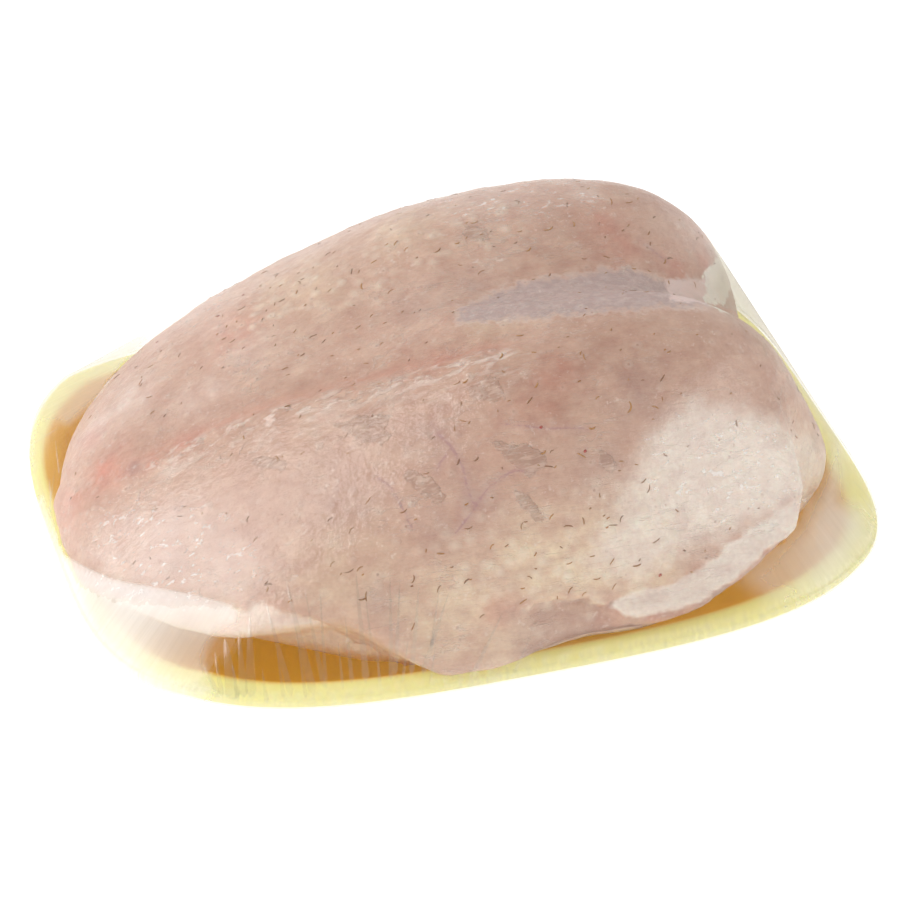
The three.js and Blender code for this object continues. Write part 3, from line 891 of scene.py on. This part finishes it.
beads = skin.add("TexVoronoi", {"feature": "SMOOTH_F1"}, Vector=skin.spot, Scale=230.0, Smoothness=0.4)
bead = skin.times(skin.span(beads.outputs["Distance"], 0.15, 0.5, 1.0, 0.0), skin.value("tract"))
skin.lay(bead, (0.86, 0.74, 0.60), 0.5)
pores = skin.add("TexVoronoi", {"feature": "F1"}, Vector=skin.spot, Scale=210.0, Randomness=1.0)
rows = skin.times(skin.span(skin.noise(55.0, 2), 0.42, 0.58, 0.25, 1.0), skin.value("skin"))
pore_ring = skin.times(skin.span(pores.outputs["Distance"], 0.08, 0.36, 1.0, 0.0), rows)
skin.lay(pore_ring, (0.86, 0.73, 0.63), 0.22)
pore = skin.times(skin.span(pores.outputs["Distance"], 0.05, 0.12, 1.0, 0.0), rows)
skin.lay(pore, (0.40, 0.22, 0.16), 0.6)
ridges = skin.math("ABSOLUTE", skin.math("SUBTRACT", skin.noise(190.0, 5, 0.6, streak_spot), 0.5))
wrinkle = skin.times(skin.span(ridges, 0.0, 0.02, 1.0, 0.0), skin.span(skin.noise(75.0, 3), 0.45, 0.6))
skin.lay(wrinkle, (0.84, 0.70, 0.62), 0.3)
# painted glints: small pale specks scattered over the skin
glint_patches = skin.span(skin.noise(90.0, 2), 0.45, 0.6)
skin_glints = skin.times(skin.span(skin.noise(640.0, 3, 0.7), 0.60, 0.66), glint_patches)
skin.lay(skin_glints, (0.86, 0.74, 0.66), 0.4)

skin_shape = None
crinkle = skin.noise(300.0, 6, 0.65, streak_spot)
for height, distance, strength in (
    (bead, 0.0007, 0.5), (pore_ring, 0.0004, 0.6), (wrinkle, 0.0003, 0.6),
    (crinkle, 0.001, 0.6), (thin, 0.0005, 0.5), (streaks, 0.0005, 0.5),
):
    skin_shape = skin.bump(height, distance, strength, skin_shape)
skin_shader = skin.shader(
    "Principled", Base_Color=skin.so_far, Roughness=skin.span(skin.noise(200.0, 3), 0.3, 0.7, 0.42, 0.6),
    Normal=skin_shape, Specular_IOR_Level=0.3,
    Subsurface_Weight=0.25, Subsurface_Radius=(1.0, 0.45, 0.3), Subsurface_Scale=0.003,
)
breast.data.materials.append(skin.close(skin_shader))
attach(breast, "root")
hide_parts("breast")

# %% [markdown]
# ## Stretch film
# Pulled tight, film takes the shortest way: it touches the high parts of the meat and spans
# every hollow, just as a convex hull does. So the hull of the breast and the lip is made first,
# and a fine round net is dropped on it from above. The net then turns over the lip, runs
# straight to the base and ends under it. The film is milky where it is stretched at the
# corners and faintly hazy where it hangs free. White patches on it also carry painted
# reflection, a grey-beige veil at the neck is painted shade, and painted glints sparkle where it
# clings to the skin.

# %% Stretch film
TURNS = 360
RINGS_TO_LIP = 84
HULL_EVERY = 3
START_HEIGHT = 0.1  # the net starts flat above the breast
# patches of the film in the picture
# white patches on the film: its stretched haze, with painted reflection of the lamps laid in as white
MILKY_GLARE = [
    (40, 500), (52, 530), (62, 552), (78, 562), (96, 571), (112, 578), (130, 582), (160, 587), (200, 594),
    (238, 604), (236, 622), (216, 632), (207, 645), (203, 660), (212, 690), (190, 706), (140, 696), (90, 650),
    (50, 560), (34, 510),
]
HAZY_GLARE = [
    (826, 486), (802, 528), (772, 549), (742, 578), (770, 600), (830, 588), (872, 540), (866, 512), (840, 500),
    (838, 450),
]
# the far corner's white is partly painted reflection, and its darker tone painted shade
FAR_CORNER = [
    (150, 328), (100, 350), (47, 386), (28, 415), (45, 420), (68, 424), (100, 396), (146, 346),
]
# the film at the neck end, where a grey-beige veil is painted shade of the cavity under it
SHADED_NECK = [
    (712, 230), (745, 240), (805, 330), (856, 430), (836, 442), (812, 402), (790, 374), (765, 346), (745, 326),
    (722, 308), (712, 290), (714, 262),
]
# zones where small white spots are painted in as glints
SPARKLING = [
    [(90, 520), (150, 500), (220, 520), (262, 560), (240, 600), (160, 600), (100, 585)],
    [(650, 440), (700, 410), (760, 425), (800, 450), (800, 500), (720, 520), (660, 510)],
    [(430, 200), (480, 182), (600, 178), (600, 200), (500, 222), (440, 215)],
    [(180, 320), (215, 292), (225, 300), (195, 325)],
]

film_spots = places(breast.data) + outwards(breast.data) * FILM_LIFT
taut = tight_cover(film_spots[::HULL_EVERY])

# the net's section from the lip to its end, as inset and height in millimetres
ROUND_LIP = [
    (0.5, 18.62), (-0.2, 18.3), (-0.4, 17.4), (-0.4, 15.9), (0.2, 15.0), (2.4, 13.4), (8, 9.8), (14, 5.8), (20, 2.2),
    (23.2, 0.5), (26, 0.12),
]
WRAP = soften(ROUND_LIP, 1) + [(inset, 0.1) for inset in (33, 42, 52, 62, 68)]
chain = [(HALF_WIDTH * share**0.8, START_HEIGHT) for share in np.linspace(0, 1, RINGS_TO_LIP)[:-1]]
print("net:", TURNS, "turns by", RINGS_TO_LIP + len(WRAP), "rings")
bm = turned(chain + [(HALF_WIDTH - inset * MM, height * MM) for inset, height in WRAP], TURNS)
net = piece_from(bm, "stretch_film")

on_top = np.abs(places(net.data)[:, 2] - START_HEIGHT) < 1e-6
angle, inset = squared(net.data)
spots = places(net.data)
for row in np.flatnonzero(on_top):
    spots[row, 2] = taut.ray_cast(Vector((*spots[row, :2], 0.3)), Vector((0, 0, -1)))[0].z
move(net.data, spots)
bm = bmesh.new()
bm.from_mesh(net.data)
bmesh.ops.recalc_face_normals(bm, faces=bm.faces)
bm.to_mesh(net.data)
bm.free()

net_spots = places(net.data)
gaps = np.array([(meat.find_nearest(Vector(spot))[3] or 1) for spot in net_spots]) / MM
net_seen = ease(-0.1, 0.05, outwards(net.data) @ np.array(back))


def film_patch(outlines, softness=8):
    """How strongly each point of the net lies in some outlined patches."""
    depth = np.max([inside_outline(net_spots, outline) for outline in outlines], axis=0)
    return net_seen * ease(-softness, softness, depth)


film_u, film_v = in_picture(net_spots)
net_x, net_y, net_z = net_spots.T
corner_share = np.abs(np.sin(2 * np.arctan2(net_y / HALF_WIDTH, net_x / HALF_LENGTH)))
far_corner = film_patch([FAR_CORNER], 6)
# the painted reflection thins towards the near hollow and grows towards the right end
to_hollow = np.hypot(film_u - 200, film_v - 660)  # the milk thins towards the near hollow
clearing = 0.5 + 0.85 * ease(0, 95, to_hollow)
brightening = 0.42 + 0.5 * ease(775, 845, film_u)
hidden_corners = 0.35 * ease(0.0, 0.02, net_y) * ease(0.55, 0.95, corner_share) * ease(2, 9, gaps)
milk = np.maximum(film_patch([MILKY_GLARE]) * clearing, film_patch([HAZY_GLARE], 18) * brightening)
paint(
    net.data,
    gap=np.minimum(gaps, FAR_OFF),
    # stretched-film haze, with painted reflection in the outlined patches and the far corner
    milk=np.max([milk, 0.4 * far_corner, hidden_corners], axis=0),
    # a grey-beige veil of painted shade over the neck, and fainter over the far corner
    dull=np.maximum(film_patch([SHADED_NECK], 12) * ease(0.015, 0.045, net_z), 0.25 * far_corner),
    pockets=film_patch(SPARKLING, 22),
    # white haze along the lip's outer edge: the film's striations, with a painted sheen
    edge=ease(0.0025, 0.0004, inset) * ease(0.009, 0.013, net_z),
)
# strands run outwards: they change fast round the middle and slowly along the way out
strand_spots = np.column_stack([np.cos(angle) * 0.1, np.sin(angle) * 0.1, (HALF_WIDTH - inset) * 0.06])
keep(net.data, "pull", "FLOAT_VECTOR", "vector", strand_spots)
print("film free of the meat:", round(float((gaps > 1).mean()), 2))

# %% [markdown]
# ## Film finish
# Film is almost not there: it shows by what it mirrors, by a faint haze where it hangs free,
# and by sparkles where it clings to the skin's grain. A see-through shader is mixed with a
# glossy one, which gains where the film is seen edge on. A white diffuse part gives the haze,
# and in painted patches it also stands for reflection and glints; the neck's grey-beige veil is
# painted shade.

# %% Film finish
film = Finish("clear_stretch_film")
milky, dull, near_lip = film.value("milk"), film.value("dull"), film.value("edge")
frayed = film.plus(film.value("gap"), film.span(film.noise(330.0, 4, 0.6), 0.3, 0.7, -0.45, 0.45))
loose = film.span(frayed, 0.9, 1.15)
# painted glints: small white spots and a faint whitening in the sparkling zones
glint_places = film.times(film.value("pockets"), film.span(film.noise(120.0, 3), 0.38, 0.5))
pocket = film.times(film.span(film.noise(620.0, 3, 0.6, film.stretched((0.55, 1.0, 1.0))), 0.60, 0.63), glint_places)
strands = film.noise(900.0, 3, 0.6, film.painted("pull", "Vector"))
edge_lines = film.noise(600.0, 2, 0.5, film.stretched((1.0, 1.0, 0.04)))
shape = film.bump(film.noise(380.0, 4, 0.55), 0.00036, film.span(loose, 0.0, 1.0, 1.0, 0.1))
shape = film.bump(pocket, 0.00012, 0.6, shape)
shape = film.bump(strands, 0.0003, film.span(loose, 0.0, 1.0, 0.0, 0.2), shape)
shape = film.bump(edge_lines, 0.0002, near_lip, shape)
clear_tone = film.mix(milky, (0.99, 0.99, 0.985), (0.93, 0.94, 0.90))
# the veil of painted shade tints the clear film and turns its white part grey-beige
clear = film.shader("Transparent", Color=film.mix(dull, clear_tone, (0.86, 0.84, 0.77)))
mirror = film.shader("Glossy", Color=(1, 1, 1), Roughness=0.1, Normal=shape)
milk_tone = film.mix(dull, (0.97, 0.96, 0.93), (0.52, 0.45, 0.32))
white = film.join(0.25, film.shader("Diffuse", Color=milk_tone), film.shader("Translucent", Color=milk_tone))
cloudy = film.math("MAXIMUM", loose, film.span(milky, 0.6, 0.9, 0.0, 0.8))
haze = film.span(loose, 0.0, 1.0, 0.0, 0.012)
for where, how_much in (
    (film.times(milky, cloudy), film.span(strands, 0.3, 0.7, 0.59, 0.66)),
    (film.times(dull, loose), 0.36),
    (pocket, 0.6),
    (film.value("pockets"), 0.14),
    (near_lip, film.span(edge_lines, 0.35, 0.65, 0.10, 0.22)),
):
    haze = film.plus(haze, film.times(where, how_much))
facing = film.add("LayerWeight", Blend=0.5, Normal=shape).outputs["Facing"]
least = film.span(film.math("MAXIMUM", loose, pocket), 0.0, 1.0, 0.04, 0.03)
shine = film.plus(least, film.times(film.math("POWER", facing, 4.0), 0.22))
net.data.materials.append(film.close(film.join(shine, film.join(haze, clear, white), mirror)))
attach(net, "root")
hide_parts("film")
net.visible_shadow = False  # clear film lets the light through

# %% [markdown]
# ## Slivers
# Pleats in film and feather stubs in skin have one shape in common: long, thin, pointed at the
# ends and bent along a surface. A small ball with few faces, stretched ring by ring along a path,
# gives that closed shape, and one helper then serves both.

# %% Slivers
def sliver(target, path, facing, widths, height, sides=6):
    """Adds a closed, pointed body along a path and returns how far to the side each vertex lies."""
    last = len(path) - 1
    asides = []
    body = bmesh.new()
    bmesh.ops.create_uvsphere(body, u_segments=sides, v_segments=last, radius=1)
    for vertex in body.verts:
        ring = round(math.acos(max(-1, min(1, vertex.co.z))) / math.pi * last)
        along = (path[min(ring + 1, last)] - path[max(ring - 1, 0)]).normalized()
        across = along.cross(facing[ring]).normalized()
        spread = math.hypot(vertex.co.x, vertex.co.y) or 1
        sideways, upwards = vertex.co.x / spread, vertex.co.y / spread
        if ring in (0, last):
            sideways = upwards = 0
        asides.append(abs(sideways))
        vertex.co = path[ring] + across * sideways * widths[ring] / 2 + facing[ring] * upwards * height / 2
    body.to_mesh(one_sliver)
    body.free()
    target.from_mesh(one_sliver)
    return asides


one_sliver = bpy.data.meshes.new("one_sliver")

# %% [markdown]
# ## Pleats in the film
# Where taut film has to shorten at the lip, it folds on itself into narrow pleats that start
# wide at the lip's edge and run out to a point towards the meat, like creases of light. The
# pleats in front are placed by where they show in the picture, and the hidden sides get the
# same kind by seeded chance.

# %% Pleats in the film
# each pleat's tip and foot in the picture, and its width in millimetres
FRONT_PLEATS = [
    (286, 578, 314, 697, 1.5), (266, 602, 292, 697, 1.2), (250, 615, 251, 698, 2.0), (225, 638, 234, 700, 2.6),
    (239, 630, 244, 698, 1.6), (356, 572, 366, 684, 1.2), (305, 590, 324, 689, 0.9), (320, 587, 326, 690, 0.7),
    (390, 575, 391, 682, 0.9), (400, 580, 395, 676, 0.8), (419, 585, 411, 676, 1.0), (449, 592, 422, 675, 1.0),
    (345, 615, 352, 684, 0.8), (215, 652, 222, 697, 1.0), (203, 664, 222, 702, 1.2), (262, 668, 267, 703, 0.8),
    (503, 612, 470, 680, 0.9), (529, 640, 511, 678, 0.8), (296, 628, 306, 699, 0.7), (338, 640, 343, 690, 0.6),
    (376, 640, 380, 688, 0.6), (232, 662, 238, 701, 0.8), (277, 650, 284, 699, 0.7), (408, 640, 402, 684, 0.6),
    (436, 642, 430, 684, 0.5), (562, 655, 552, 679, 0.5), (366, 600, 372, 650, 0.6), (440, 580, 431, 650, 0.6),
    (859, 494, 873, 512, 0.6), (856, 501, 874, 521, 0.6), (858, 510, 873, 529, 0.6), (860, 519, 872, 537, 0.5),
    (852, 480, 873, 503, 0.4), (60, 428, 30, 446, 0.6), (56, 440, 28, 455, 0.5), (50, 478, 32, 497, 0.7),
    (52, 487, 35, 505, 0.6), (50, 498, 38, 512, 0.5), (56, 470, 27, 488, 0.4),
]
HIDDEN_PLEATS = 60
PLEAT_STEPS = 15
PLEAT_LIFT = 0.0001
PLEAT_HEIGHT = 0.00012
PLEAT_SPREAD = 1.9  # a pleat's faint veil is wider than the bright line that the picture shows
cover = tree_from(net.data)
pleats_mesh = bmesh.new()
densities = []


def pleat(tip, foot, width, veil, rims, narrowest=0.12):
    """A pleat over the film between two places: a faint veil between two whiter rims."""
    path, facing, widths = [], [], []
    for step in range(PLEAT_STEPS):
        share = step / (PLEAT_STEPS - 1)
        spot, normal = cover.find_nearest(tip.lerp(foot, share))[:2]
        path.append(spot + normal * PLEAT_LIFT)
        facing.append(normal)
        widths.append(width * MM * (narrowest + (1 - narrowest) * share**0.8))
    for aside in sliver(pleats_mesh, path, facing, widths, PLEAT_HEIGHT):
        densities.append(veil + (rims - veil) * aside)


for u, v, foot_u, foot_v, width in FRONT_PLEATS:
    pleat(seen_on(cover, u, v), seen_on(cover, foot_u, foot_v), PLEAT_SPREAD * width, 0.8 - 0.12 * width, 1.0)

chance = random.Random(7)
for _ in range(HIDDEN_PLEATS):
    angle = chance.uniform(0.3, 2.2)
    corner = abs(math.sin(2 * angle)) ** 2
    lean = chance.uniform(-0.03, 0.03)
    foot_reach = rim(angle, -0.0002)
    foot_height = LIP_TOP - 0.0008 + corner_lift(angle, 0)
    foot = Vector((foot_reach * math.cos(angle), foot_reach * math.sin(angle), foot_height))
    inner = rim(angle + lean, chance.uniform(0.004, 0.006 + 0.012 * corner))
    tip = Vector((inner * math.cos(angle + lean), inner * math.sin(angle + lean), 0))
    above = cover.ray_cast(Vector((tip.x, tip.y, 0.3)), Vector((0, 0, -1)))[0]
    pleat(above, foot, chance.uniform(0.4, 1.1), 0.35, 0.8)

pleats = piece_from(pleats_mesh, "film_pleats")
pleats.data.shade_flat()  # a pleat is flat, and rounded shading would darken its sides
paint(pleats.data, density=densities)
folded = Finish("folded_film")
fold_lines = folded.noise(500.0, 3, 0.6)
fold_shape = folded.bump(fold_lines, 0.0002, 0.3)
# the pleats' white is the doubled film's haze, with painted highlight along the folds
FOLD_TONE = (1.0, 0.99, 0.96)
fold_clear = folded.shader("Transparent", Color=(0.99, 0.99, 0.98))
fold_milk = folded.join(
    0.08, folded.shader("Diffuse", Color=FOLD_TONE), folded.shader("Translucent", Color=FOLD_TONE),
)
fold_gloss = folded.shader("Glossy", Roughness=0.2, Normal=fold_shape)
fold_share = folded.times(folded.value("density"), folded.span(fold_lines, 0.3, 0.7, 0.75, 1.0))
fold_facing = folded.add("LayerWeight", Blend=0.5, Normal=fold_shape).outputs["Facing"]
fold_shine = folded.span(folded.math("POWER", fold_facing, 3.0), 0.0, 1.0, 0.12, 0.35)
fold_front = folded.join(fold_shine, folded.join(fold_share, fold_clear, fold_milk), fold_gloss)
inner_face = folded.add("NewGeometry").outputs["Backfacing"]
pleats.data.materials.append(folded.close(folded.join(inner_face, fold_front, fold_clear)))
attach(pleats, "root")
pleats.visible_shadow = False
print("pleats:", len(pleats.data.polygons), "faces")

# %% [markdown]
# ## Feather stubs
# Plucking leaves short curved stubs, golden to dark brown, a millimetre or three long, all over
# the skin. Drawn in the finish they would blur, so each is a small bent sliver that lies half in
# the skin. A few red specks are broken vessels.

# %% Feather stubs
STUBS = 460
RED_SPECKS = [(157, 342), (218, 316), (243, 295), (541, 427), (660, 575), (585, 451)]
CLEAR_STUBS = [
    (548, 228, 3.6), (573, 224, 2), (457, 243, 1.6), (528, 249, 2.2), (664, 261, 2.2), (628, 407, 3.6),
    (592, 427, 2), (543, 452, 1.8), (465, 381, 1.8), (536, 385, 2), (520, 335, 2.4), (500, 356, 2.8),
]

stubs_mesh = bmesh.new()
tones = []
rng = np.random.default_rng(5)
corners = places(breast.data)
faces = np.array([face.vertices[:] for face in breast.data.polygons])
centres = corners[faces].mean(axis=1)
sizes = np.array([face.area for face in breast.data.polygons])
skin_share = np.array(1 - bare)[faces].mean(axis=1)
bare_skin = sizes * (centres[:, 2] > 0.03) * (skin_share > 0.9)
bare_skin *= 1 + 1.5 * tract[faces].mean(axis=1)
picked = rng.choice(len(faces), STUBS, p=bare_skin / bare_skin.sum())


def stub(middle, length, width, tone, turn, bend):
    """A bent sliver half in the skin."""
    spot, normal = meat.find_nearest(Vector(middle))[:2]
    along = Matrix.Rotation(turn, 3, normal) @ normal.cross(Vector((0, 1, 0.2))).normalized()
    across = normal.cross(along)
    path = []
    for step in range(6):
        reach = step / 5 - 0.5
        path.append(spot + along * reach * length + across * bend * length * (0.25 - reach**2) + normal * 0.00005)
    sliver(stubs_mesh, path, [normal] * 6, [width] * 6, 0.0002, 4)
    tones.extend([tone] * (len(stubs_mesh.verts) - len(tones)))


for row in picked:
    length = (0.8 + 2.2 * rng.uniform(0, 1) ** 1.6) * MM
    width, tone = rng.uniform(0.22, 0.42) * MM, rng.uniform(0, 0.8)
    stub(centres[row], length, width, tone, rng.normal(0.5, 0.6), rng.uniform(-0.9, 0.9))
for u, v, length in CLEAR_STUBS:
    stub(on_meat(u, v), length * MM, 0.45 * MM, 0.1, rng.normal(0.3, 0.5), rng.uniform(0.5, 1.0))
for u, v in RED_SPECKS:
    stub(on_meat(u, v), 1.1 * MM, 0.7 * MM, 1, 0.5, 0.2)
stubs = piece_from(stubs_mesh, "feather_stubs")
paint(stubs.data, tone=tones)
horn = Finish("feather_stub")
horn_tone = horn.value("tone")
horn_colour = horn.mix(horn.span(horn_tone, 0.0, 0.8), (0.50, 0.22, 0.04), (0.20, 0.085, 0.045))
horn_colour = horn.mix(horn.span(horn_tone, 0.85, 0.95), horn_colour, (0.42, 0.03, 0.04))
horn_colour = horn.mix(horn.span(horn.noise(900.0, 2), 0.3, 0.7, 0.0, 0.4), horn_colour, (0.60, 0.42, 0.25))
horn_shape = horn.bump(horn.noise(3000.0, 2), 0.0001, 0.3)
horn_shader = horn.shader("Principled", Base_Color=horn_colour, Roughness=0.4, Normal=horn_shape)
stubs.data.materials.append(horn.close(horn_shader))
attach(stubs, "root")
print("stubs:", len(stubs.data.polygons), "faces")
